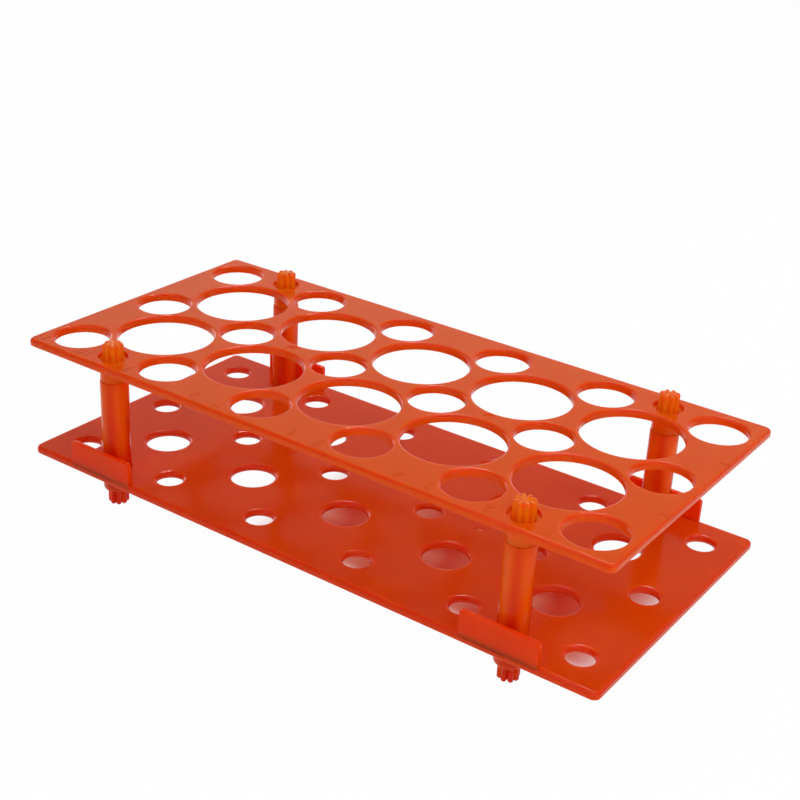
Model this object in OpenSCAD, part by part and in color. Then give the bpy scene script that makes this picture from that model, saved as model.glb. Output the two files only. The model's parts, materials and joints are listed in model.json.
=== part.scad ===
// Tube rack of two pierced plates on four push-fit posts.
// Origin: centre of the footprint, on the surface that the four feet stand on.
// +X runs along the rack, +Z is up.

/* [Tube holes] */
// Diameter of the small holes in the top plate
small_hole_d = 17; // [12:0.5:22]
// Diameter of the large holes in the top plate
large_hole_d = 30; // [24:0.5:36]
// Diameter of the small seats in the bottom plate
small_seat_d = 8; // [5:0.2:11]
// Diameter of the large seats in the bottom plate
large_seat_d = 13.6; // [9:0.2:20]
// Narrowest material left between a small hole and a large one
hole_web = 2.1; // [1.5:0.1:4]
// Columns of small holes, with a large hole in every square of four
columns = 6; // [4:1:10]
// Rows of small holes
rows = 3; // [2:1:5]
// Chamfer on the rim of each hole
rim_chamfer = 0.4; // [0.2:0.05:0.6]

/* [Plates] */
// Thickness of both plates
plate_t = 2.5; // [2:0.1:4]
// Material between the last hole and the short edge
end_margin = 3; // [2.5:0.1:8]
// Material between the last hole and the long edge
side_margin = 3.5; // [3:0.1:8]
// Radius of the plate corners, seen from above
corner_r = 2.2; // [1.5:0.1:5]
// Chamfer on the outer edges of the plates
edge_chamfer = 0.4; // [0.2:0.05:0.7]
// Top face of the lower plate to top face of the upper plate
plate_spacing = 37.3; // [28:0.1:60]

/* [Bosses] */
// Length of the boss under each plate at a post
boss_h = 5.1; // [3:0.1:8]
// Wall of the upper plate's boss around the post's tip
top_boss_wall = 0.9; // [0.7:0.05:1.5]
// Wall of the lower plate's boss around the post's tip
bottom_boss_wall = 1.25; // [0.8:0.05:2]
// Depth of the round recess in each plate above a boss
recess_depth = 1.2; // [0.6:0.1:1.8]

/* [Posts] */
// Diameter of the round column
column_d = 8.7; // [7.4:0.1:12]
// Radial gap between a column and the recess it stands in
column_clearance = 0.2; // [0.1:0.05:0.4]
// Diameter of the grooved tips, over the lobes
tip_d = 6.4; // [4.5:0.1:7]
// Radial gap between a tip and its bore
tip_clearance = 0.05; // [0.02:0.01:0.15]
// How far a tip stands above the upper plate
tip_rise = 4.4; // [2:0.1:8]
// How far a tip reaches below the lower boss, as a foot
foot_h = 5.1; // [3:0.1:10]
// Number of lobes around a tip
lobes = 8; // [6:1:12]
// Depth of the grooves between the lobes
groove_depth = 0.95; // [0.4:0.05:1.2]
// Gap between neighbouring lobes
groove_w = 0.25; // [0.1:0.05:0.4]
// Rounding at the end of a tip
tip_round = 0.7; // [0.3:0.05:0.8]

/* [Edge walls] */
// Length of the wall on the foot of each post
wall_l = 24.4; // [16:0.1:32]
// Height of the wall above the lower plate
wall_h = 7.4; // [5:0.1:14]
// Thickness of the wall
wall_t = 1.5; // [1:0.1:2.5]
// Radius of the wall's upper corners
wall_corner_r = 1; // [0.8:0.1:3]
// Width of the rib that joins the wall to the column
rib_w = 3; // [1.5:0.1:5]
// How far the rib stays below the top of the wall
rib_drop = 1.6; // [1:0.1:3]

/* [Hidden] */
$fn = 96;
cut = 1;                     // how far a cutter runs past what it cuts
plate_colour = "orangered";
post_colour = "darkorange";

pitch = sqrt(2) * (small_hole_d / 2 + large_hole_d / 2 + hole_web);
plate_l = (columns - 1) * pitch + small_hole_d + 2 * end_margin;
plate_w = (rows - 1) * pitch + small_hole_d + 2 * side_margin;
bottom_z = foot_h + boss_h;              // underside of the lower plate
top_z = bottom_z + plate_spacing;        // underside of the upper plate
floor_z = bottom_z + plate_t;            // upper face of the lower plate

// a post stands midway between the last large hole and the long edge
post_x = (columns / 2 - 1) * pitch;
post_y = ((rows / 2 - 1) * pitch + large_hole_d / 2 + plate_w / 2) / 2;
bore_d = tip_d + 2 * tip_clearance;
recess_d = column_d + 2 * column_clearance;
column_z = floor_z - recess_depth;
column_h = top_z - boss_h - column_z;
tip_top = top_z + plate_t + tip_rise;
lobe_sine = sin(180 / lobes);
lobe_r = (tip_d * lobe_sine - groove_w) / (2 + 2 * lobe_sine);

// children at every place of a grid centred on the origin
module grid(nx, ny) {
    for (ix = [0 : nx - 1], iy = [0 : ny - 1])
        translate([(ix - (nx - 1) / 2) * pitch, (iy - (ny - 1) / 2) * pitch, 0]) children();
}

module at_posts() {
    for (sx = [-1, 1], sy = [-1, 1])
        translate([sx * post_x, sy * post_y, 0]) children();
}

module rounded_rectangle(l, w, r) {
    square([l - 2 * r, w], center = true);
    square([l, w - 2 * r], center = true);
    for (sx = [-1, 1], sy = [-1, 1])
        translate([sx * (l / 2 - r), sy * (w / 2 - r)]) circle(r);
}

// a bar along Y with its four long edges chamfered
module chamfered_bar(w, t, e, length) {
    rotate([90, 0, 0]) linear_extrude(length, center = true) polygon([
        [e - w / 2, 0], [w / 2 - e, 0], [w / 2, e], [w / 2, t - e],
        [w / 2 - e, t], [e - w / 2, t], [-w / 2, t - e], [-w / 2, e]
    ]);
}

// a plate whose outer edges are chamfered above and below
module chamfered_slab(l, w, t, r, e) {
    intersection() {
        linear_extrude(t) rounded_rectangle(l, w, r);
        chamfered_bar(l, t, e, w + 2 * cut);
        rotate(90) chamfered_bar(w, t, e, l + 2 * cut);
    }
}

// what a hole with chamfered rims takes out of a plate
module rimmed_hole(d, t, e) {
    translate([0, 0, -cut]) cylinder(t + 2 * cut, d = d);
    translate([0, 0, t - e]) cylinder(e + cut, d / 2, d / 2 + e + cut);
    translate([0, 0, -cut]) cylinder(e + cut, d / 2 + e + cut, d / 2);
}

module plate(small_d, large_d, boss_wall) {
    difference() {
        union() {
            chamfered_slab(plate_l, plate_w, plate_t, corner_r, edge_chamfer);
            at_posts() translate([0, 0, -boss_h])
                cylinder(boss_h + plate_t / 2, d = bore_d + 2 * boss_wall);
        }
        grid(columns, rows) rimmed_hole(small_d, plate_t, rim_chamfer);
        grid(columns - 1, rows - 1) rimmed_hole(large_d, plate_t, rim_chamfer);
        at_posts() {
            translate([0, 0, -boss_h - cut]) cylinder(boss_h + plate_t + 2 * cut, d = bore_d);
            translate([0, 0, plate_t - recess_depth]) cylinder(recess_depth + cut, d = recess_d);
        }
    }
}

// a ring of lobes around a core, from z0 to z1
module tip(z0, z1) {
    translate([0, 0, z0]) linear_extrude(z1 - z0) {
        circle(d = tip_d - 2 * groove_depth);
        for (i = [0 : lobes - 1])
            rotate(i * 360 / lobes) translate([tip_d / 2 - lobe_r, 0]) circle(lobe_r);
    }
}

// a round bar with both ends rounded
module round_ended_bar(z0, z1, d, r) {
    rotate_extrude() {
        translate([0, z0]) square([d / 2 - r, z1 - z0]);
        translate([0, z0 + r]) square([d / 2, z1 - z0 - 2 * r]);
        for (z = [z0 + r, z1 - r]) translate([d / 2 - r, z]) circle(r);
    }
}

// the wall's face, seen from in front, with its upper corners rounded
module wall_face() {
    translate([-wall_l / 2, 0]) square([wall_l, wall_h - wall_corner_r]);
    translate([-wall_l / 2 + wall_corner_r, 0]) square([wall_l - 2 * wall_corner_r, wall_h]);
    for (s = [-1, 1])
        translate([s * (wall_l / 2 - wall_corner_r), wall_h - wall_corner_r]) circle(wall_corner_r);
}

// one post, with its wall on the -Y side
module post() {
    to_edge = plate_w / 2 - post_y;
    intersection() {
        union() {
            tip(0, column_z + cut);
            tip(column_z + column_h - cut, tip_top);
        }
        round_ended_bar(0, tip_top, tip_d, tip_round);
    }
    translate([0, 0, column_z]) cylinder(column_h, d = column_d);
    translate([0, wall_t - to_edge, floor_z]) rotate([90, 0, 0]) linear_extrude(wall_t) wall_face();
    translate([-rib_w / 2, -to_edge + wall_t / 2, floor_z])
        cube([rib_w, to_edge - wall_t / 2, wall_h - rib_drop]);
}

module top_plate() {
    color(plate_colour) translate([0, 0, top_z]) plate(small_hole_d, large_hole_d, top_boss_wall);
}

module bottom_plate() {
    color(plate_colour) translate([0, 0, bottom_z]) plate(small_seat_d, large_seat_d, bottom_boss_wall);
}

module post_front_left() {
    color(post_colour) translate([-post_x, -post_y, 0]) post();
}

module post_front_right() {
    color(post_colour) translate([post_x, -post_y, 0]) post();
}

module post_rear_left() {
    color(post_colour) translate([-post_x, post_y, 0]) rotate(180) post();
}

module post_rear_right() {
    color(post_colour) translate([post_x, post_y, 0]) rotate(180) post();
}

top_plate();
bottom_plate();
post_front_left();
post_front_right();
post_rear_left();
post_rear_right();
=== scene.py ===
import json
import math

import bmesh
import bpy
import numpy as np
from mathutils import Matrix, Vector, geometry

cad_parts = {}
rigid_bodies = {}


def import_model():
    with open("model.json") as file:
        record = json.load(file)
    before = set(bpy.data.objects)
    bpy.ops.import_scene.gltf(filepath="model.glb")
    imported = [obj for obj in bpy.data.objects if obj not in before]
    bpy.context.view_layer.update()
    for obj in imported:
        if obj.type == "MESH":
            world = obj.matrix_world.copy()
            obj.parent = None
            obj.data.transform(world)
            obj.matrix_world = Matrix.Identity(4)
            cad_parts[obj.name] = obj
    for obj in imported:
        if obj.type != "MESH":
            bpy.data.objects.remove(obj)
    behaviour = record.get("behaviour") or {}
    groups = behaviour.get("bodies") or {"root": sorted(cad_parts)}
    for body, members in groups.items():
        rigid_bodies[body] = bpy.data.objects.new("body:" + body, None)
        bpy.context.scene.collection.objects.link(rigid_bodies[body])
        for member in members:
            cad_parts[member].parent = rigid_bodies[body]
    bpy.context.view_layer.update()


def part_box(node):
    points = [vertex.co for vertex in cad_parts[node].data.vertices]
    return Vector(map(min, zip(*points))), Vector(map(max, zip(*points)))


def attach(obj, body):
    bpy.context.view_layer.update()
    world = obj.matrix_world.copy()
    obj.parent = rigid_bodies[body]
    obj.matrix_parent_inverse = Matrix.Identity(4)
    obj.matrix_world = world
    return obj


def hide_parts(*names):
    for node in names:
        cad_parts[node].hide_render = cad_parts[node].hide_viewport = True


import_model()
print("frame loaded")

mm = 0.001
topLow, topHigh = (np.array(corner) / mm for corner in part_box("top_plate"))
lowLow, lowHigh = (np.array(corner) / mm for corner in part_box("bottom_plate"))
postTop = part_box("post_front_right")[1][2] / mm

# the pattern of holes: small ones on a square grid and a large one in every square of four
holePattern = {
    "columns": 6,
    "rows": 3,
    "small": 17.0,  # mm across, in the upper plate
    "large": 30.0,
    "web": 2.1,  # mm of plastic left between a small hole and a large one
    "postSide": 40.65,  # mm from the rack's middle to the posts, midway from a large hole to the long edge
}


def findPlaces(h):
    # the small holes' pitch is sqrt 2 times the way from a small centre to a large one, and the posts stand
    # beside the last large hole of each row
    pitch = math.sqrt(2) * (h["small"] / 2 + h["large"] / 2 + h["web"])
    return pitch, ((h["columns"] / 2 - 1) * pitch, h["postSide"])


holePitch, postPlace = findPlaces(holePattern)  # mm, the posts' from the rack's middle in X and Y


def direction(turn, rise):
    # the way from the rack towards turn degrees round from its right end and rise degrees up:
    # (cos turn cos rise, sin turn cos rise, sin rise)
    turn, rise = math.radians(turn), math.radians(rise)
    return Vector((math.cos(turn) * math.cos(rise), math.sin(turn) * math.cos(rise), math.sin(rise)))


# a long lens from the front right, a little above the rack
cameraView = {
    "azimuth": 304.36,  # degrees round from the right end
    "elevation": 25.63,  # degrees above the bench
    "roll": 3.057,  # degrees
    "distance": 0.475,  # metres from the point it looks at
    "aim": (-0.0188, 0.0351, 0.025),  # that point, metres
    "lens": 64.95,  # mm
    "sensor": 36.0,  # mm
    "nearest": 0.01,  # metres, what is closer isn't drawn
}


def makeCamera(v):
    # level axes first, side = up of the world cross back, and both then turned by the roll
    back = direction(v["azimuth"], v["elevation"])
    roll = math.radians(v["roll"])
    side = Vector((0, 0, 1)).cross(back).normalized()
    up = back.cross(side)
    right = math.cos(roll) * side + math.sin(roll) * up
    top = math.cos(roll) * up - math.sin(roll) * side
    data = bpy.data.cameras.new("camera")
    data.lens = v["lens"]
    data.sensor_width = v["sensor"]
    data.clip_start = v["nearest"]
    camera = bpy.data.objects.new("camera", data)
    bpy.context.scene.collection.objects.link(camera)
    turn = Matrix((right, top, back)).transposed().to_4x4()
    camera.matrix_world = Matrix.Translation(Vector(v["aim"]) + v["distance"] * back) @ turn
    bpy.context.scene.camera = camera


makeCamera(cameraView)
print("camera set")


def linear(hexColour):
    # sRGB hex to the linear colour that shaders take
    parts = [int(hexColour[i:i + 2], 16) / 255 for i in (1, 3, 5)]
    return [c / 12.92 if c <= 0.04045 else ((c + 0.055) / 1.055) ** 2.4 for c in parts] + [1]


def addNode(tree, kind, settings=None, links=None):
    # one node: settings go to its properties or input sockets, links join its inputs to outputs
    node = tree.nodes.new(kind)
    for name, value in (settings or {}).items():
        if isinstance(name, int) or name in node.inputs:
            node.inputs[name].default_value = value
        else:
            setattr(node, name, value)
    for name, socket in (links or {}).items():
        tree.links.new(socket, node.inputs[name])
    return node


# Injection moulded polypropylene, dyed orange and a little see-through. Light runs far through it in
# red and hardly at all in blue, so thick places glow orange and thin or shaded ones turn deep red.
# The skin copies a polished mould: it is glossy, and a slow waviness from shrinkage bends what it mirrors.
# In the fine raised marks light doesn't spread, so that they stay crisp.
# light and deep are the tones that dye clouds and painted shade mix between, radius is how many mm red, green
# and blue light run inside, soft the share of light that does so, shine the strength of the gloss, and
# through the dye on a lamp's light that comes out behind.
plasticFinish = {
    "plate": {"light": "#D65206", "deep": "#C93D04", "radius": (5.0, 1.2, 0.3),
              "soft": 1.0, "shine": 0.1, "through": (0.68, 0.11, 0.03)},
    "post": {"light": "#E45C06", "deep": "#CE2D03", "radius": (8.0, 1.0, 0.4),
             "soft": 1.0, "shine": 0.1, "through": (0.76, 0.16, 0.04)},
    "marks": {"light": "#D65206", "deep": "#D65206", "radius": (5.0, 1.2, 0.3),
              "soft": 0.0, "shine": 0.1, "through": (0.68, 0.11, 0.03)},
}
plasticScale = {
    "wave": 22.0,  # mm from one shrinkage wave to the next
    "waveHeight": 0.020,  # mm
    "flow": 30.0,  # mm across a cloud of dye
    "peel": 1.2,  # mm, the fine texture of the mould's polish, coarser than life so that it shows
    "peelHeight": 0.0012,  # mm
    "ior": 1.49,  # polypropylene's
    "roughness": 0.14,  # of a skin from a polished mould
    "roughVary": (-0.02, 0.04),  # added to it, from the wave's hollows to its crests
    "waveRange": (0.3, 0.7),  # the noise's value in a hollow and on a crest
    "rise": (8.0, 50.0),  # painted shade: mm above the bench, from where the colour is deepest to where it is lightest, as the lower parts lie in shade
    "cloudDepth": 0.3,  # how far the clouds change the colour
    "paintedBands": 4,  # painted light and shade bands along a column, in one turn round it
    "paintedBandTurn": 82.0,  # degrees that they are turned
    "paintedBandDepth": 0.45,  # how far they change the colour
    "postReach": 4.62,  # mm from a column's axis, just past the recess round it
    "edgePaintedShade": (1.0, 0.62, 0.3),  # painted shade: share of red, green and blue left where a rounded edge is darkest
    "bossPaintedLight": (1.28, 1.35, 1.5),  # painted light: the factor on the upper plate's bosses
    "bossHalf": 2.5,  # mm, half the length of one
    "tipPaintedLight": (1.0, 1.6, 1.8),  # painted light: the factor on the tips that stand out above, and in the recess round them
    "tipDepth": 1.3,  # mm below the upper face, where that begins
}


def aroundPost(tree, place, scale):
    # the way from the nearest post's axis, which stands at sign(x, y) times the posts' place, and 1 within
    # a column's reach of it
    sign = addNode(tree, "ShaderNodeVectorMath", {"operation": "SIGN"}, {0: place})
    axis = addNode(tree, "ShaderNodeVectorMath", {
        "operation": "MULTIPLY", 1: (postPlace[0] * mm, postPlace[1] * mm, 0)}, {0: sign.outputs[0]})
    apart = addNode(tree, "ShaderNodeVectorMath", {"operation": "SUBTRACT"},
                    {0: place, 1: axis.outputs[0]})
    flat = addNode(tree, "ShaderNodeVectorMath", {"operation": "MULTIPLY", 1: (1, 1, 0)},
                   {0: apart.outputs[0]})
    reach = addNode(tree, "ShaderNodeVectorMath", {"operation": "LENGTH"}, {0: flat.outputs[0]})
    near = addNode(tree, "ShaderNodeMath", {"operation": "LESS_THAN", 1: scale["postReach"] * mm},
                   {0: reach.outputs["Value"]})
    return apart.outputs[0], near.outputs[0]


def columnStreaks(tree, place, scale):
    # painted light and shade bands, on the column only: depth * cos(bands * angle round the nearest post's
    # axis + turn)
    apart, near = aroundPost(tree, place, scale)
    parts = addNode(tree, "ShaderNodeSeparateXYZ", None, {0: apart})
    below = addNode(tree, "ShaderNodeMath", {"operation": "LESS_THAN", 1: topLow[2] * mm},
                    {0: parts.outputs["Z"]})
    angle = addNode(tree, "ShaderNodeMath", {"operation": "ARCTAN2"},
                    {0: parts.outputs["Y"], 1: parts.outputs["X"]})
    phase = addNode(tree, "ShaderNodeMath", {
        "operation": "MULTIPLY_ADD", 1: scale["paintedBands"], 2: math.radians(scale["paintedBandTurn"]),
    }, {0: angle.outputs[0]})
    wave = addNode(tree, "ShaderNodeMath", {"operation": "COSINE"}, {0: phase.outputs[0]})
    here = addNode(tree, "ShaderNodeMath", {"operation": "MULTIPLY"}, {0: near, 1: below.outputs[0]})
    deep = addNode(tree, "ShaderNodeMath", {"operation": "MULTIPLY", 1: scale["paintedBandDepth"]},
                   {0: wave.outputs[0]})
    paintedBands = addNode(tree, "ShaderNodeMath", {"operation": "MULTIPLY"},
                      {0: here.outputs[0], 1: deep.outputs[0]})
    return paintedBands.outputs[0]


def tintByPlace(tree, colour, place, scale):
    # the colour times a painted tint, in three kinds of place. Along a rounded edge it is painted darker, as
    # shade, by 4 z (1 - z), where z is the upward part of the surface's normal. On the bosses, and on the
    # tips and in the recess round them, it is painted lighter, as light.
    normal = addNode(tree, "ShaderNodeTexCoord").outputs["Normal"]
    up = addNode(tree, "ShaderNodeSeparateXYZ", None, {0: normal}).outputs["Z"]
    rest = addNode(tree, "ShaderNodeMath", {"operation": "SUBTRACT", 0: 1.0}, {1: up})
    both = addNode(tree, "ShaderNodeMath", {"operation": "MULTIPLY"}, {0: up, 1: rest.outputs[0]})
    edge = addNode(tree, "ShaderNodeMath", {"operation": "MULTIPLY", 1: 4.0}, {0: both.outputs[0]})
    height = addNode(tree, "ShaderNodeSeparateXYZ", None, {0: place}).outputs["Z"]
    half = scale["bossHalf"]
    boss = addNode(tree, "ShaderNodeMath", {
        "operation": "COMPARE", 1: (topLow[2] + half) * mm, 2: half * mm}, {0: height})
    above = addNode(tree, "ShaderNodeMath", {
        "operation": "GREATER_THAN", 1: (topHigh[2] - scale["tipDepth"]) * mm}, {0: height})
    near = aroundPost(tree, place, scale)[1]
    tip = addNode(tree, "ShaderNodeMath", {"operation": "MULTIPLY"}, {0: above.outputs[0], 1: near})
    for share, tint in ((edge, "edgePaintedShade"), (boss, "bossPaintedLight"), (tip, "tipPaintedLight")):
        tinted = addNode(tree, "ShaderNodeMix", {
            "data_type": "RGBA", "blend_type": "MULTIPLY", 7: (*scale[tint], 1),
        }, {0: share.outputs[0], 6: colour})
        colour = tinted.outputs[2]
    return colour


def dyeShare(tree, place, scale):
    # 0 for the deep colour and 1 for the light one: painted shade that lifts with height, plus dye clouds,
    # plus the columns' painted bands
    cloud = addNode(tree, "ShaderNodeTexNoise", {"Scale": 1 / (scale["flow"] * mm), "Detail": 2.0},
                    {"Vector": place})
    height = addNode(tree, "ShaderNodeSeparateXYZ", None, {0: place}).outputs["Z"]
    start, end = (level * mm for level in scale["rise"])
    rise = addNode(tree, "ShaderNodeMapRange", {
        "From Min": start, "From Max": end, "To Min": 0.0, "To Max": 1.0}, {"Value": height})
    cloudy = addNode(tree, "ShaderNodeMath", {"operation": "MULTIPLY_ADD", 1: scale["cloudDepth"]},
                     {0: cloud.outputs["Fac"], 2: rise.outputs["Result"]})
    share = addNode(tree, "ShaderNodeMath", {"operation": "ADD", "use_clamp": True},
                    {0: cloudy.outputs[0], 1: columnStreaks(tree, place, scale)})
    return share.outputs[0]


def makePlastic(name, finish, scale):
    # colour = deep + share * (light - deep), then painted light and shade by place; roughness follows the
    # shrinkage wave
    material = bpy.data.materials.new(name)
    material.use_nodes = True
    tree = material.node_tree
    tree.nodes.clear()
    place = addNode(tree, "ShaderNodeTexCoord").outputs["Object"]
    dyeAndShade = addNode(tree, "ShaderNodeMix", {
        "data_type": "RGBA", 6: linear(finish["deep"]), 7: linear(finish["light"]),
    }, {0: dyeShare(tree, place, scale)})
    colour = tintByPlace(tree, dyeAndShade.outputs[2], place, scale)
    wave = addNode(tree, "ShaderNodeTexNoise", {"Scale": 1 / (scale["wave"] * mm), "Detail": 1.0},
                   {"Vector": place})
    peel = addNode(tree, "ShaderNodeTexNoise", {"Scale": 1 / (scale["peel"] * mm), "Detail": 1.0},
                   {"Vector": place})
    waveBump = addNode(tree, "ShaderNodeBump", {"Distance": scale["waveHeight"] * mm},
                       {"Height": wave.outputs["Fac"]})
    peelBump = addNode(tree, "ShaderNodeBump", {"Distance": scale["peelHeight"] * mm},
                       {"Height": peel.outputs["Fac"], "Normal": waveBump.outputs["Normal"]})
    hollow, crest = scale["waveRange"]
    least, most = (scale["roughness"] + change for change in scale["roughVary"])
    rough = addNode(tree, "ShaderNodeMapRange", {
        "From Min": hollow, "From Max": crest, "To Min": least, "To Max": most,
    }, {"Value": wave.outputs["Fac"]})
    shader = addNode(tree, "ShaderNodeBsdfPrincipled", {
        "Subsurface Weight": finish["soft"],
        "Subsurface Radius": finish["radius"],
        "Subsurface Scale": mm,
        "IOR": scale["ior"],
        "Specular IOR Level": finish["shine"],
    }, {"Base Color": colour, "Roughness": rough.outputs["Result"], "Normal": peelBump.outputs["Normal"]})
    # lamps shine on through the plastic, dyed, so its shadow is red and not black
    path = addNode(tree, "ShaderNodeLightPath")
    dyed = addNode(tree, "ShaderNodeBsdfTransparent", {"Color": (*finish["through"], 1)})
    both = addNode(tree, "ShaderNodeMixShader", None, {
        0: path.outputs["Is Shadow Ray"], 1: shader.outputs[0], 2: dyed.outputs[0]})
    addNode(tree, "ShaderNodeOutputMaterial", None, {"Surface": both.outputs[0]})
    return material


plasticOf = {part: makePlastic("orange_polypropylene_" + part, finish, plasticScale)
             for part, finish in plasticFinish.items()}
print("materials made")


def arc(x, z, radius, start, end, count):
    # points of a circle round (x, z): (x + radius cos t, z + radius sin t), t from start to end degrees
    t = np.radians(np.linspace(start, end, count))
    return np.column_stack((x + radius * np.cos(t), z + radius * np.sin(t)))


def around(count):
    # directions (cos t, sin t) at even steps of a full turn
    t = np.arange(count) * 2 * np.pi / count
    return np.column_stack((np.cos(t), np.sin(t)))


def carry(centres, directions, profile):
    # a profile carried along a path: point (i, j) = centre i + offset j * direction i, at height j
    flat = centres[:, None, :] + profile[None, :, :1] * directions[:, None, :]
    height = np.broadcast_to(profile[None, :, 1:], (*flat.shape[:2], 1))
    return np.concatenate((flat, height), axis=2)


def gridFaces(rows, columns):
    # four-cornered faces between neighbouring rows and columns, the last row joined to the first
    i, j = np.meshgrid(np.arange(rows), np.arange(columns - 1), indexing="ij")
    here = i * columns + j
    after = (i + 1) % rows * columns + j
    return np.stack((here, after, after + 1, here + 1), axis=-1).reshape(-1, 4)


weldDistance = 0.002 * mm  # points closer than this become one
sharpAngle = 40  # degrees between faces, from where an edge shades sharp
fillTolerance = 1e-6  # mm, for the triangles of a flat face
insideRim = 0.999  # share of a hole's radius that surely counts as inside it


def flatFill(rings, z, holes):
    # a flat face between rings: their constrained Delaunay triangles, less those whose middle is in a hole
    points = np.concatenate(rings)
    starts = np.cumsum([0] + [len(ring) for ring in rings])
    edges = np.concatenate([
        np.column_stack((start + np.arange(len(ring)), start + (np.arange(len(ring)) + 1) % len(ring)))
        for start, ring in zip(starts, rings)])
    found = geometry.delaunay_2d_cdt([Vector(p) for p in points.tolist()], edges.tolist(), [], 0,
                                    fillTolerance)
    flat = np.array(found[0])
    faces = np.array(found[2])
    middle = flat[faces].mean(axis=1)
    apart = np.linalg.norm(middle[:, None, :] - holes[None, :, :2], axis=2)
    faces = faces[(apart > holes[None, :, 2] * insideRim).all(axis=1)]
    return np.column_stack((flat, np.full(len(flat), z))), faces


def makeMesh(name, parts):
    # one closed mesh from parts of (points in mm, faces): shared edges are welded, faces turned outwards
    mesh = bpy.data.meshes.new(name)
    starts = np.cumsum([0] + [len(points) for points, faces in parts])
    points = np.concatenate([points for points, faces in parts]) * mm
    faces = [[corner + start for corner in face] for start, (p, f) in zip(starts.tolist(), parts)
             for face in (f if isinstance(f, list) else f.tolist())]
    mesh.from_pydata(points.tolist(), [], faces)
    work = bmesh.new()
    work.from_mesh(mesh)
    bmesh.ops.remove_doubles(work, verts=work.verts, dist=weldDistance)
    bmesh.ops.recalc_face_normals(work, faces=work.faces)
    work.to_mesh(mesh)
    work.free()
    return mesh


def finishPiece(name, mesh, material, nodes):
    # shade a mesh smooth up to its sharp edges, give it its finish and hand it to the rack's body
    mesh.shade_smooth()
    mesh.set_sharp_from_angle(angle=math.radians(sharpAngle))
    mesh.materials.clear()
    mesh.materials.append(material)
    piece = bpy.data.objects.new(name, mesh)
    bpy.context.scene.collection.objects.link(piece)
    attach(piece, "root")
    if nodes:
        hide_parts(*nodes)
    print("made", name, len(mesh.polygons), "faces")


plateShape = {
    "thickness": 2.5,  # mm
    "corner": 2.2,  # mm, radius of the corners seen from above
    "topRound": 1.0,  # mm, round on the upper outer edge
    "lowRound": 0.5,  # mm, round on the lower outer edge
    "margin": 0.05,  # mm of flat face kept beside each round, so that the face shades flat
    "cornerSteps": 10,  # points round each corner
    "sideSteps": 16,  # and along each side
    "turns": 96,  # points round a large hole
    "leastTurns": 40,  # and round the smallest
    "fullRadius": 12.0,  # mm, radius from which a hole has them all
}
# the small dish that each injection gate leaves in a plate's upper face, with a nib in its middle
gateShape = {
    "radius": 1.9,  # mm
    "side": 0.35,  # mm, radius of the dish's side
    # across the floor and up the nib: mm from its axis and mm below the face
    "nib": ((0.9, 0.25), (0.65, 0.23), (0.55, 0.15), (0.44, 0.04), (0.22, 0.01), (0.0, 0.01)),
}
bossShape = {
    "bore": 6.5,  # mm across
    "boreBreak": 0.15,  # mm, on the bore's edges
    "recess": 9.1,  # mm across
    "recessDepth": 1.2,
    "recessRound": 0.25,
    "recessFoot": 0.2,  # mm, fillet in the recess's corner
    "blend": 0.6,  # mm, fillet between the boss and the plate
}
# for each plate: mm across its holes, rounds on their upper and lower rims, the boss's wall and end round
plateSizes = {
    "top_plate": {"small": holePattern["small"], "large": holePattern["large"], "rims": (0.95, 0.35),
                  "bossWall": 0.9, "bossRound": 0.25},
    "bottom_plate": {"small": 8.0, "large": 13.6, "rims": (1.2, 1.2),
                     "bossWall": 1.25, "bossRound": 1.0},
}


def gridPlaces(columns, rows, pitch):
    # (ix - middle, iy - middle) * pitch for every place of a grid centred on the origin
    x, y = np.meshgrid(np.arange(columns) - (columns - 1) / 2, np.arange(rows) - (rows - 1) / 2)
    return np.column_stack((x.ravel(), y.ravel())) * pitch


def roundedRectangle(length, width, radius, cornerSteps, sideSteps):
    # corner centres and directions, so that centre + radius * direction is the outline, side by side
    corners = np.array([(1, 1), (-1, 1), (-1, -1), (1, -1)]) * (length / 2 - radius, width / 2 - radius)
    centres, directions = [], []
    for i, corner in enumerate(corners):
        t = np.radians(np.linspace(90 * i, 90 * i + 90, cornerSteps))
        turned = np.column_stack((np.cos(t), np.sin(t)))
        share = np.linspace(0, 1, sideSteps + 2)[1:-1, None]
        centres += [np.repeat(corner[None], cornerSteps, axis=0),
                    corner + share * (corners[(i + 1) % 4] - corner)]
        directions += [turned, np.repeat(turned[-1:], sideSteps, axis=0)]
    return np.concatenate(centres), np.concatenate(directions)


def edgeProfile(s, low, top):
    # across the outer edge, from the upper face over a round, down the side and round to the lower face
    r, q, m = s["topRound"], s["lowRound"], s["margin"]
    return np.concatenate(([(-r - m, top)], arc(-r, top - r, r, 90, 0, 13), arc(-q, low + q, q, 0, -90, 6),
                           [(-q - m, low)])) + (s["corner"], 0)


def holeProfile(radius, r, q, m, low, top):
    # across a hole's rim, as distances from its axis: flat, round, straight wall, round, flat
    return np.concatenate(([(radius + r + m, top)], arc(radius + r, top - r, r, 90, 180, 13),
                           arc(radius + q, low + q, q, 180, 270, 10), [(radius + q + m, low)]))


def bossProfile(b, wall, e, m, bossEnd, low, top):
    # down the recess, across its floor, down the bore, round the boss's end and up its outside
    bore, recess, outer = b["bore"] / 2, b["recess"] / 2, b["bore"] / 2 + wall
    r, f, c, g = b["recessRound"], b["blend"], b["boreBreak"], b["recessFoot"]
    floor = top - b["recessDepth"]
    return np.concatenate((
        [(recess + r + m, top)], arc(recess + r, top - r, r, 90, 180, 5),
        arc(recess - g, floor + g, g, 0, -90, 4),
        [(bore + c, floor), (bore, floor - c), (bore, bossEnd + c), (bore + c, bossEnd)],
        arc(outer - e, bossEnd + e, e, -90, 0, 7), arc(outer + f, low - f, f, 180, 90, 6),
        [(outer + f + m, low)]))


def gateProfile(g, m, top):
    # from the face down the dish's side, across its floor and up over the nib in its middle, to the axis
    r, side = g["radius"], g["side"]
    return np.concatenate(([(r + m, top)], arc(r - side, top, side, 0, -45, 4),
                           np.array(g["nib"]) * (1, -1) + (0, top)))


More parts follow.
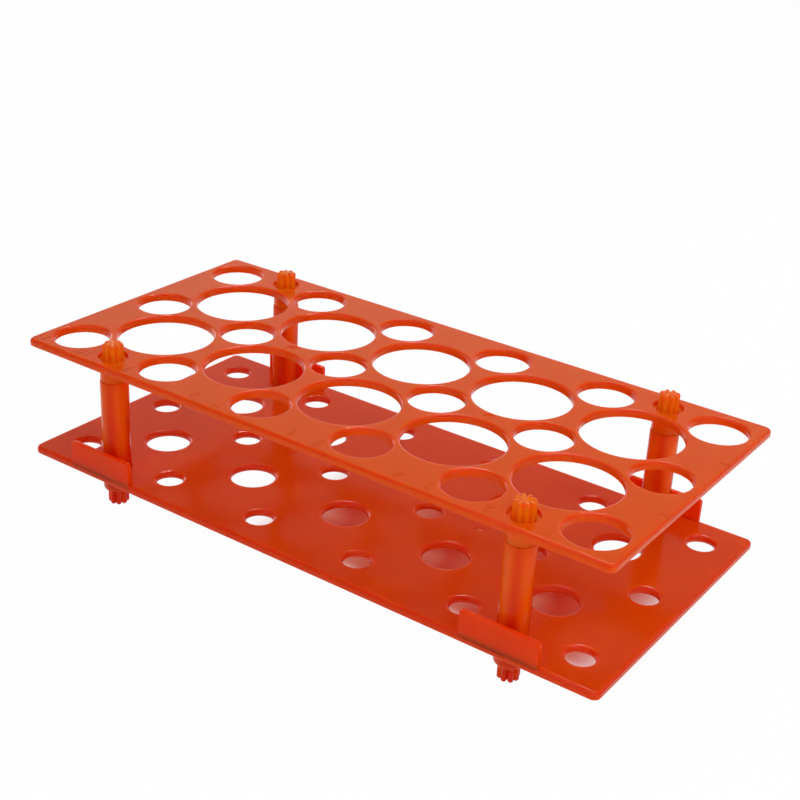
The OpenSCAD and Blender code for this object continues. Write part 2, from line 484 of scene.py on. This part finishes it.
def makePlate(node, h, bossEnd, top):
    # a profile carried round the outline, round each hole, boss and gate, and flat faces between them
    s, m = plateShape, plateShape["margin"]
    low = top - s["thickness"]
    cuts = [(place, holeProfile(h[size] / 2, *h["rims"], m, low, top))
            for size, fewer in (("small", 0), ("large", 1))
            for place in gridPlaces(holePattern["columns"] - fewer, holePattern["rows"] - fewer, holePitch)]
    boss = bossProfile(bossShape, h["bossWall"], h["bossRound"], m, bossEnd, low, top)
    cuts += [(np.array((x, y)) * postPlace, boss) for x in (-1, 1) for y in (-1, 1)]
    outline = roundedRectangle(2 * topHigh[0], 2 * topHigh[1], s["corner"], s["cornerSteps"], s["sideSteps"])
    sweeps = [carry(*outline, edgeProfile(s, low, top))]
    for place, profile in cuts:
        count = int(s["turns"] * min(1, profile[:, 0].max() / s["fullRadius"]))
        turns = around(max(s["leastTurns"], count))
        sweeps.append(carry(np.repeat(place[None], len(turns), axis=0), turns, profile))
    gates = np.array([(-1, 0), (1, 0)]) * holePitch
    turns = around(s["leastTurns"])
    marks = [carry(np.repeat(place[None], len(turns), axis=0), turns, gateProfile(gateShape, m, top))
             for place in gates]
    parts = [(sweep.reshape(-1, 3), gridFaces(*sweep.shape[:2])) for sweep in sweeps + marks]
    upper = np.array([(*place, profile[0, 0]) for place, profile in cuts]
                     + [(*place, gateShape["radius"] + m) for place in gates])
    lower = np.array([(*place, profile[-1, 0]) for place, profile in cuts])
    parts.append(flatFill([sweep[:, 0, :2] for sweep in sweeps + marks], top, upper))
    parts.append(flatFill([sweep[:, -1, :2] for sweep in sweeps], low, lower))
    name = node + "_moulding"
    finishPiece(name, makeMesh(name, parts), plasticOf["plate"], [node])


makePlate("top_plate", plateSizes["top_plate"], topLow[2], topHigh[2])
makePlate("bottom_plate", plateSizes["bottom_plate"], lowLow[2], lowHigh[2])
print("plates made")


numberMarks = {
    "height": 4.0,  # mm
    "letterSize": 1.4,  # text size for each mm of a figure's height
    "proud": 0.1,  # mm above the plate
    "front": -44.0,  # mm, from the rack's middle to the middles of the numbers
    "beside": -8.4,  # mm, from a small hole or a post to its number
    "below": 0.3,  # mm, and from a large hole's middle
    "rowHeight": 3.0,  # mm, the numbers of the two rows of large holes, at the right end
    "rowEnd": 100.2,  # mm, from the rack's middle to their middles
}


def makeNumbers(m):
    # plain numbers moulded along the front edge, one for each column of holes, small and large in turn,
    # and one for each row of large holes at the right end
    count = 2 * holePattern["columns"] - 1
    marks = []
    for i in range(count):
        x = ((count - 1) / 2 - i) * holePitch / 2
        besidePost = abs(abs(x) - postPlace[0]) < 1
        x += m["beside"] if i % 2 == 0 or besidePost else m["below"]
        marks.append((i + 1, x, m["front"], math.pi, m["height"]))
    for i in range(holePattern["rows"] - 1):
        y = ((holePattern["rows"] - 2) / 2 - i) * holePitch
        marks.append((i + 1, m["rowEnd"], y, math.pi / 2, m["rowHeight"]))
    parts = bmesh.new()
    for number, x, y, turn, height in marks:
        curve = bpy.data.curves.new("number", "FONT")
        curve.body = str(number)
        curve.size = height * m["letterSize"] * mm
        curve.align_x = "CENTER"
        curve.align_y = "CENTER"
        curve.extrude = m["proud"] * mm
        curve.resolution_u = 4
        text = bpy.data.objects.new("number", curve)
        mesh = bpy.data.meshes.new_from_object(text)
        place = Matrix.Translation((x * mm, y * mm, topHigh[2] * mm))
        mesh.transform(place @ Matrix.Rotation(turn, 4, "Z"))
        parts.from_mesh(mesh)
        bpy.data.objects.remove(text)
        bpy.data.curves.remove(curve)
        bpy.data.meshes.remove(mesh)
    mesh = bpy.data.meshes.new("moulded_numbers")
    bmesh.ops.remove_doubles(parts, verts=parts.verts, dist=weldDistance)
    bmesh.ops.recalc_face_normals(parts, faces=parts.faces)
    parts.to_mesh(mesh)
    parts.free()
    finishPiece("moulded_numbers", mesh, plasticOf["marks"], [])


makeNumbers(numberMarks)
print("numbers made")


postShape = {
    "column": 8.7,  # mm across
    "columnLow": lowHigh[2] - bossShape["recessDepth"],  # it stands in the recess of the lower plate
    "columnHigh": topLow[2],  # and ends under the upper plate's boss
    "columnRound": 0.3,
    "tip": 6.4,  # mm across the lobes
    "lobes": 8,
    "groove": 0.95,  # mm deep
    "gap": 0.25,  # mm between neighbouring lobes
    "tipRound": 0.9,  # mm, round at the end of a tip
    "tipDip": 0.45,  # mm that a groove sinks into the end, so that each lobe ends in a knuckle of its own
    "turns": 160,
}
wallShape = {
    "length": 24.4,
    "height": 7.4,
    "thickness": 1.5,
    "corner": 1.0,  # mm, radius of the upper corners
    "edge": 0.3,  # mm, round on the other edges
    "ribWidth": 3.0,
    "ribDrop": 1.6,  # mm from the wall's top down to the rib's
}


def lobedRadius(s, t):
    # radius at angle t of circles in a ring round a core: c cos a + sqrt(r^2 - c^2 sin^2 a), and never less
    # than the core's
    half = np.pi / s["lobes"]
    r = (s["tip"] * math.sin(half) - s["gap"]) / (2 + 2 * math.sin(half))
    c = s["tip"] / 2 - r
    a = (t + half) % (2 * half) - half
    lobe = c * np.cos(a) + np.sqrt(np.maximum(r ** 2 - (c * np.sin(a)) ** 2, 0))
    return np.maximum(lobe, s["tip"] / 2 - s["groove"])


def barSurface(s, tipTop):
    # polar grid: radius = share * ((1 - w) * lobed outline + w * column radius + offset), from pole to pole;
    # at both ends the grooves sink by dip * share squared * (1 - how much of a lobe there is)
    q, e, low, high = s["tipRound"], s["columnRound"], s["columnLow"], s["columnHigh"]
    bend = np.radians(np.linspace(90, 0, 8))
    edge = np.radians(np.linspace(0, 90, 4))
    endRows = [(share, 0, -q, 0, share ** 2) for share in (0, 0.25, 0.5, 0.75, 0.9)]
    endRows += [(1, 0, -q * (1 - math.cos(b)), q * (1 - math.sin(b)), math.sin(b)) for b in bend]
    rows = endRows + [(1, 0, 0, z, 0) for z in np.linspace(q, low, 6)[1:]]
    rows += [(1, 1, -e * (1 - math.sin(b)), low + e * (1 - math.cos(b)), 0) for b in edge]
    rows += [(1, 1, 0, z, 0) for z in np.linspace(low + e, high - e, 12)[1:-1]]
    rows += [(1, 1, -e * (1 - math.cos(b)), high - e * (1 - math.sin(b)), 0) for b in edge]
    rows += [(1, 0, 0, z, 0) for z in np.linspace(high, tipTop - q, 8)[:-1]]
    rows += [(share, w, offset, tipTop - z, -dip) for share, w, offset, z, dip in endRows[::-1]]
    share, w, offset, z, dip = np.array(rows).T
    turns = around(s["turns"])
    outline = lobedRadius(s, np.arctan2(turns[:, 1], turns[:, 0]))[:, None]
    lobe = (outline - outline.min()) / (outline.max() - outline.min())
    radius = share * ((1 - w) * outline + w * s["column"] / 2 + offset)
    height = z + s["tipDip"] * dip * (1 - lobe)
    points = np.concatenate((radius[..., None] * turns[:, None, :], height[..., None]), axis=2)
    return points.reshape(-1, 3), gridFaces(*points.shape[:2])


def wallSurface(s, plateRound, outer, foot):
    # a section carried along X: the top sinks round the upper corners, and the faces draw in at both ends
    half, r, q, t, h = s["length"] / 2, s["corner"], s["edge"], s["thickness"], s["height"]
    bend = np.radians(np.linspace(0, 90, 7))
    steps = np.unique(np.round(np.concatenate((q * (1 - np.cos(bend)), r * (1 - np.cos(bend)),
                                               np.linspace(r, half, 6))), 6))
    x = np.concatenate((steps - half, (half - steps)[::-1][1:]))
    inside = half - np.abs(x)
    sink = r - np.sqrt(np.maximum(r ** 2 - np.maximum(r - inside, 0) ** 2, 0))
    draw = q - np.sqrt(np.maximum(q ** 2 - np.maximum(q - inside, 0) ** 2, 0))
    # up the inner face, over the top, down the outer face, and in under it along the plate's rounded edge
    section = np.concatenate((arc(t - q, h - q, q, 0, 90, 5), arc(q, h - q, q, 90, 180, 5),
                              arc(plateRound, -plateRound, plateRound, 180, 90, 6), [(t, 0)]))
    across, up = section.T
    share = np.clip((across - q) / (t - 2 * q), 0, 1)
    y = across[None, :] + draw[:, None] * (1 - 2 * share[None, :])
    z = up[None, :] - np.maximum(sink, draw)[:, None] * (up > h / 2)[None, :]
    sides = np.stack((np.broadcast_to(x[:, None], y.shape), outer + y, foot + z), axis=2)
    points = sides.transpose(1, 0, 2)
    rows, columns = points.shape[:2]
    ends = [[i * columns + j for i in range(rows)] for j in (0, columns - 1)]
    return points.reshape(-1, 3), gridFaces(rows, columns).tolist() + ends


def blockSurface(low, high, edge):
    # a block with round edges: each direction is pushed out to the block less its round, then by the round
    turn = np.linspace(0, 2 * np.pi, 41)[:-1] + np.pi / 40
    rise = np.linspace(-np.pi / 2, np.pi / 2, 21)
    u, v = np.meshgrid(turn, rise, indexing="ij")
    ball = np.stack((np.cos(u) * np.cos(v), np.sin(u) * np.cos(v), np.sin(v)), axis=2)
    centre, half = (np.array(low) + high) / 2, (np.array(high) - low) / 2
    points = centre + np.sign(np.round(ball, 6)) * (half - edge) + ball * edge
    return points.reshape(-1, 3), gridFaces(*points.shape[:2])


def weld(name, parts):
    # one closed solid from parts that overlap, by exact union
    first, *rest = [makeMesh(name + str(i), [part]) for i, part in enumerate(parts)]
    body = bpy.data.objects.new(name, first)
    bpy.context.scene.collection.objects.link(body)
    for mesh in rest:
        other = bpy.data.objects.new(mesh.name, mesh)
        bpy.context.scene.collection.objects.link(other)
        union = body.modifiers.new("union", "BOOLEAN")
        union.operation = "UNION"
        union.solver = "EXACT"
        union.object = other
    view = bpy.context.evaluated_depsgraph_get()
    joined = bpy.data.meshes.new_from_object(body.evaluated_get(view), depsgraph=view)
    for thing in [o for o in bpy.context.scene.objects if o.name.startswith(name)]:
        bpy.data.objects.remove(thing)
    return joined


def makePosts(s, w):
    # one post on its own axis, then a copy for each place
    toEdge = topHigh[1] - postPlace[1]
    rib = blockSurface((-w["ribWidth"] / 2, w["thickness"] / 2 - toEdge, lowHigh[2]),
                       (w["ribWidth"] / 2, 0, lowHigh[2] + w["height"] - w["ribDrop"]), w["edge"])
    wall = wallSurface(w, plateShape["topRound"], -toEdge, lowHigh[2])
    onePost = weld("onePost", [barSurface(s, postTop), rib, wall])
    for node, x, y in (("post_front_left", -1, -1), ("post_front_right", 1, -1),
                       ("post_rear_left", -1, 1), ("post_rear_right", 1, 1)):
        mesh = onePost.copy()
        # a rear post is turned half round, so that its wall stands on the rear edge
        place = Matrix.Translation((x * postPlace[0] * mm, y * postPlace[1] * mm, 0))
        mesh.transform(place @ Matrix.Rotation(math.pi if y > 0 else 0, 4, "Z"))
        finishPiece(node + "_moulding", mesh, plasticOf["post"], [node])


makePosts(postShape, wallShape)
print("posts made")


studio = {
    "sky": 0.03,  # soft light from all round, besides the lamps
    "backdropTop": (16, 40),  # degrees above the horizon, where the mirrored backdrop begins and ends dimming
    "ceiling": 0.4,  # brightness above that
    "softbox": (114, 66),  # degrees round from the right end and up, of a bright panel seen only in the gloss
    "softboxEdge": (15, 8),  # degrees from its middle, where it begins and is brightest
    "softboxGlow": 24.0,
    "sheet": "#F6F6F6",  # the white sheet that the rack stands on
    "sheetPaintedTint": "#EBD0B4",  # painted: a cream tint that stands in for the orange light from the plastic, on the sheet in the shade under the rack
    "shadeMiddle": (32.0, 0.0),  # mm, middle of the box where that shade is painted: it leaves out the left end, where light reaches in under the rack
    "shadeHalf": (46.0, 22.0),  # mm from there to its sides
    "shadeFade": (22.0, 9.0),  # mm over which it ends, each way
    "glow": 0.98,  # how far the sheet is burnt out to white outside the shade
    "sheetRings": (0, 0.2, 0.5, 1.0, 3.0),  # metres from the middle to each ring of the sheet's mesh
    "sheetTurns": 64,
    "lampAim": (0, 0, 0.03),  # metres, the point that the lamps face
    "lampReach": 0.8,  # metres from there to each lamp
    "lampWidth": 0.5,  # metres
    # name: degrees round from the right end, degrees up, metres high, watts, seen in the gloss
    "lamps": {
        "right": (349, 45, 0.5, 3.0, True),
        "front": (304, 9, 0.2, 0.9, True),
        "frontLeft": (264, 32, 0.5, 1.6, True),
        "left": (169, 9, 0.2, 1.25, True),
        "back": (79, 32, 0.5, 1.65, False),
        "top": (124, 66, 0.4, 1.85, True),
    },
}


def makeLamp(name, look, turn, rise, tall, watts, inGloss):
    # a lit panel at aim + reach * direction(turn, rise), facing back to the aim
    back = direction(turn, rise)
    data = bpy.data.lights.new(name, "AREA")
    data.shape = "RECTANGLE"
    data.size = look["lampWidth"]
    data.size_y = tall
    data.energy = watts
    lamp = bpy.data.objects.new(name, data)
    lamp.visible_glossy = inGloss
    bpy.context.scene.collection.objects.link(lamp)
    place = Matrix.Translation(Vector(look["lampAim"]) + look["lampReach"] * back)
    lamp.matrix_world = place @ back.to_track_quat("Z", "Y").to_matrix().to_4x4()


def seenDirectly(tree):
    # 1 for the rays that show the background itself: camera rays, and those mirrored or passed through
    path = addNode(tree, "ShaderNodeLightPath")
    either = addNode(tree, "ShaderNodeMath", {"operation": "MAXIMUM"},
                     {0: path.outputs["Is Camera Ray"], 1: path.outputs["Is Glossy Ray"]})
    seen = addNode(tree, "ShaderNodeMath", {"operation": "MAXIMUM"},
                   {0: either.outputs[0], 1: path.outputs["Is Transmission Ray"]})
    return seen.outputs[0]


def makeWorld(look):
    # dim light from all round, which falls on everything, and a white backdrop for the rays that show it
    world = bpy.data.worlds.new("studio")
    bpy.context.scene.world = world
    world.use_nodes = True
    tree = world.node_tree
    tree.nodes.clear()
    fill = addNode(tree, "ShaderNodeBackground", {"Color": (1, 1, 1, 1), "Strength": look["sky"]})
    # what the gloss mirrors: the white backdrop, which gives way to a dimmer ceiling higher up
    way = addNode(tree, "ShaderNodeTexCoord").outputs["Generated"]
    height = addNode(tree, "ShaderNodeSeparateXYZ", None, {"Vector": way}).outputs["Z"]
    start, end = (math.sin(math.radians(rise)) for rise in look["backdropTop"])
    fade = addNode(tree, "ShaderNodeMapRange", {
        "interpolation_type": "SMOOTHSTEP",
        "From Min": start, "From Max": end, "To Min": 1.0, "To Max": look["ceiling"],
    }, {"Value": height})
    # and a panel overhead, which draws the bright lines along the rims: cos of the angle from its middle
    across = addNode(tree, "ShaderNodeVectorMath", {
        "operation": "DOT_PRODUCT", 1: direction(*look["softbox"])}, {0: way})
    outer, inner = (math.cos(math.radians(angle)) for angle in look["softboxEdge"])
    panel = addNode(tree, "ShaderNodeMapRange", {
        "interpolation_type": "SMOOTHSTEP",
        "From Min": outer, "From Max": inner, "To Min": 0.0, "To Max": look["softboxGlow"],
    }, {"Value": across.outputs["Value"]})
    bright = addNode(tree, "ShaderNodeMath", {"operation": "ADD"},
                     {0: fade.outputs["Result"], 1: panel.outputs["Result"]})
    # only the gloss sees those two: straight ahead, the backdrop is plain white
    mirrored = addNode(tree, "ShaderNodeLightPath").outputs["Is Glossy Ray"]
    strength = addNode(tree, "ShaderNodeMix", {"data_type": "FLOAT", 2: 1.0},
                       {0: mirrored, 3: bright.outputs[0]})
    white = addNode(tree, "ShaderNodeBackground", {"Color": (1, 1, 1, 1)}, {"Strength": strength.outputs[0]})
    both = addNode(tree, "ShaderNodeMixShader", None,
                   {0: seenDirectly(tree), 1: fill.outputs[0], 2: white.outputs[0]})
    addNode(tree, "ShaderNodeOutputWorld", None, {"Surface": both.outputs[0]})


def outsideShade(tree, look):
    # 0 in the box where the rack's shade is painted and 1 well outside it: length(max(|xy - middle| - half,
    # 0) / fade)
    middle, half, fade = (tuple(value * mm for value in look[size])
                          for size in ("shadeMiddle", "shadeHalf", "shadeFade"))
    value = addNode(tree, "ShaderNodeTexCoord").outputs["Object"]
    for operation, other in (("SUBTRACT", (*middle, 0)), ("ABSOLUTE", (0, 0, 0)), ("SUBTRACT", (*half, 0)),
                             ("MAXIMUM", (0, 0, 0)), ("DIVIDE", (*fade, 1))):
        step = addNode(tree, "ShaderNodeVectorMath", {"operation": operation, 1: other}, {0: value})
        value = step.outputs[0]
    apart = addNode(tree, "ShaderNodeVectorMath", {"operation": "LENGTH"}, {0: value})
    share = addNode(tree, "ShaderNodeMapRange", {
        "interpolation_type": "SMOOTHSTEP", "From Min": 0.0, "From Max": 1.0, "To Min": 0.0, "To Max": 1.0,
    }, {"Value": apart.outputs["Value"]})
    return share.outputs["Result"]


def makeFloor(look):
    # a round sheet: radius times (cos t, sin t), from the middle outwards
    radii = np.array(look["sheetRings"])
    count = look["sheetTurns"]
    flat = radii[None, :, None] * around(count)[:, None, :]
    points = np.concatenate((flat, np.zeros((count, len(radii), 1))), axis=2).reshape(-1, 3)
    mesh = makeMesh("floor", [(points / mm, gridFaces(count, len(radii)))])
    # matt white paper: it scatters evenly, with no gloss, and away from the rack it is burnt out to white
    material = bpy.data.materials.new("matt_white_paper")
    material.use_nodes = True
    tree = material.node_tree
    tree.nodes.clear()
    outside = outsideShade(tree, look)
    # painted: in that box the sheet takes a cream tint for the orange light that the plastic throws under the
    # rack
    colour = addNode(tree, "ShaderNodeMix", {
        "data_type": "RGBA", 6: linear(look["sheetPaintedTint"]), 7: linear(look["sheet"])}, {0: outside})
    lit = addNode(tree, "ShaderNodeBsdfDiffuse", None, {"Color": colour.outputs[2]})
    burnt = addNode(tree, "ShaderNodeEmission", {"Color": (1, 1, 1, 1), "Strength": 1.0})
    glow = addNode(tree, "ShaderNodeMath", {"operation": "MULTIPLY", 1: look["glow"]}, {0: outside})
    share = addNode(tree, "ShaderNodeMath", {"operation": "MULTIPLY"},
                    {0: glow.outputs[0], 1: seenDirectly(tree)})
    both = addNode(tree, "ShaderNodeMixShader", None,
                   {0: share.outputs[0], 1: lit.outputs[0], 2: burnt.outputs[0]})
    addNode(tree, "ShaderNodeOutputMaterial", None, {"Surface": both.outputs[0]})
    mesh.materials.append(material)
    floor = bpy.data.objects.new("floor", mesh)
    bpy.context.scene.collection.objects.link(floor)


for name, values in studio["lamps"].items():
    makeLamp("lamp_" + name, studio, *values)
makeWorld(studio)
makeFloor(studio)
bpy.context.scene.view_settings.view_transform = "Standard"
print("studio lit")
